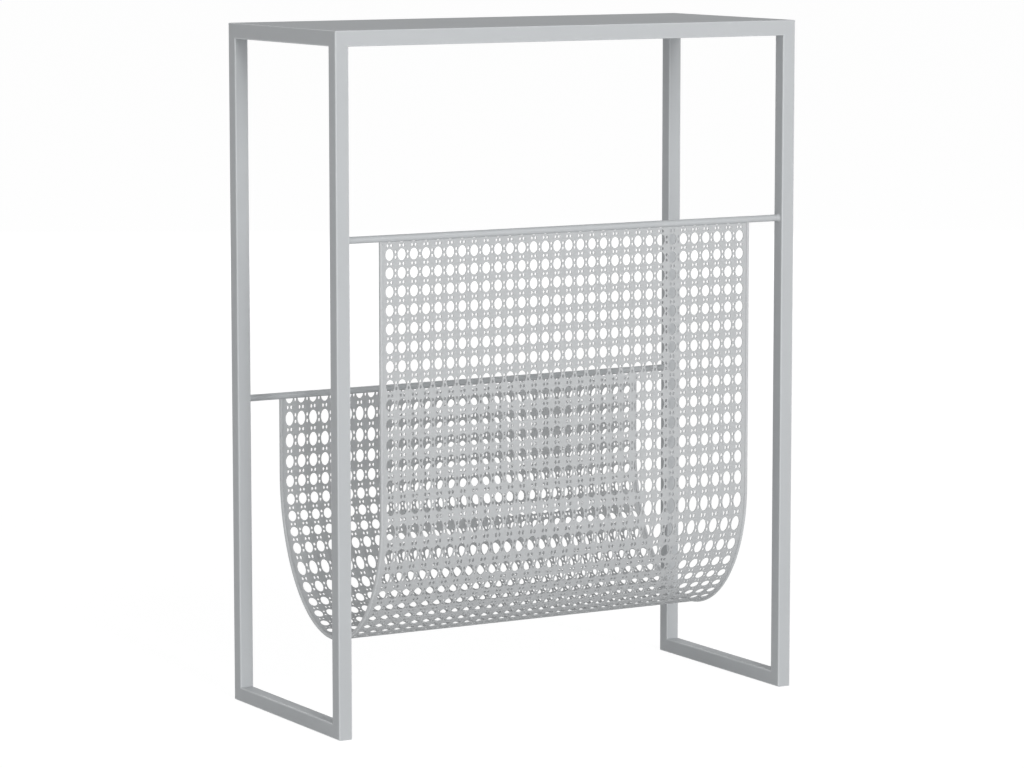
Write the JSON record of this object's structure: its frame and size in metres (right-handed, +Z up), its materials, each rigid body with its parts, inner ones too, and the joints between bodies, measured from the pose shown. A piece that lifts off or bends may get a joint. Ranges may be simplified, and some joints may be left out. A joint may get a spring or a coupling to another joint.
{
  "type": "magazine rack with table top",
  "caption": "Narrow welded steel rack: a flat table top on square-tube side loops, with a U-shaped perforated sheet sling hung between cross rods to hold magazines.",
  "frame": {"origin": "on the floor, at the middle of the rack's footprint", "axes": "+Z up, +X along the long side, -Y towards the front, where the sling's panel is high"},
  "size_m": [0.46, 0.2, 0.6],
  "materials": {
    "frame": "satin pale grey powder coat on steel tube",
    "top": "satin pale grey powder coat on flat sheet",
    "sling": "satin pale grey powder coat on perforated sheet"
  },
  "bodies": {
    "root": {"top_sheet": "top", "front_top_rail": "frame", "rear_top_rail": "frame", "left_top_rail": "frame", "right_top_rail": "frame", "front_left_post": "frame", "front_right_post": "frame", "rear_left_post": "frame", "rear_right_post": "frame", "left_floor_rail": "frame", "right_floor_rail": "frame", "front_rod": "frame", "rear_rod": "frame", "sling_sheet": "sling", "left_edge_wire": "sling", "right_edge_wire": "sling"}
  },
  "joints": []
}
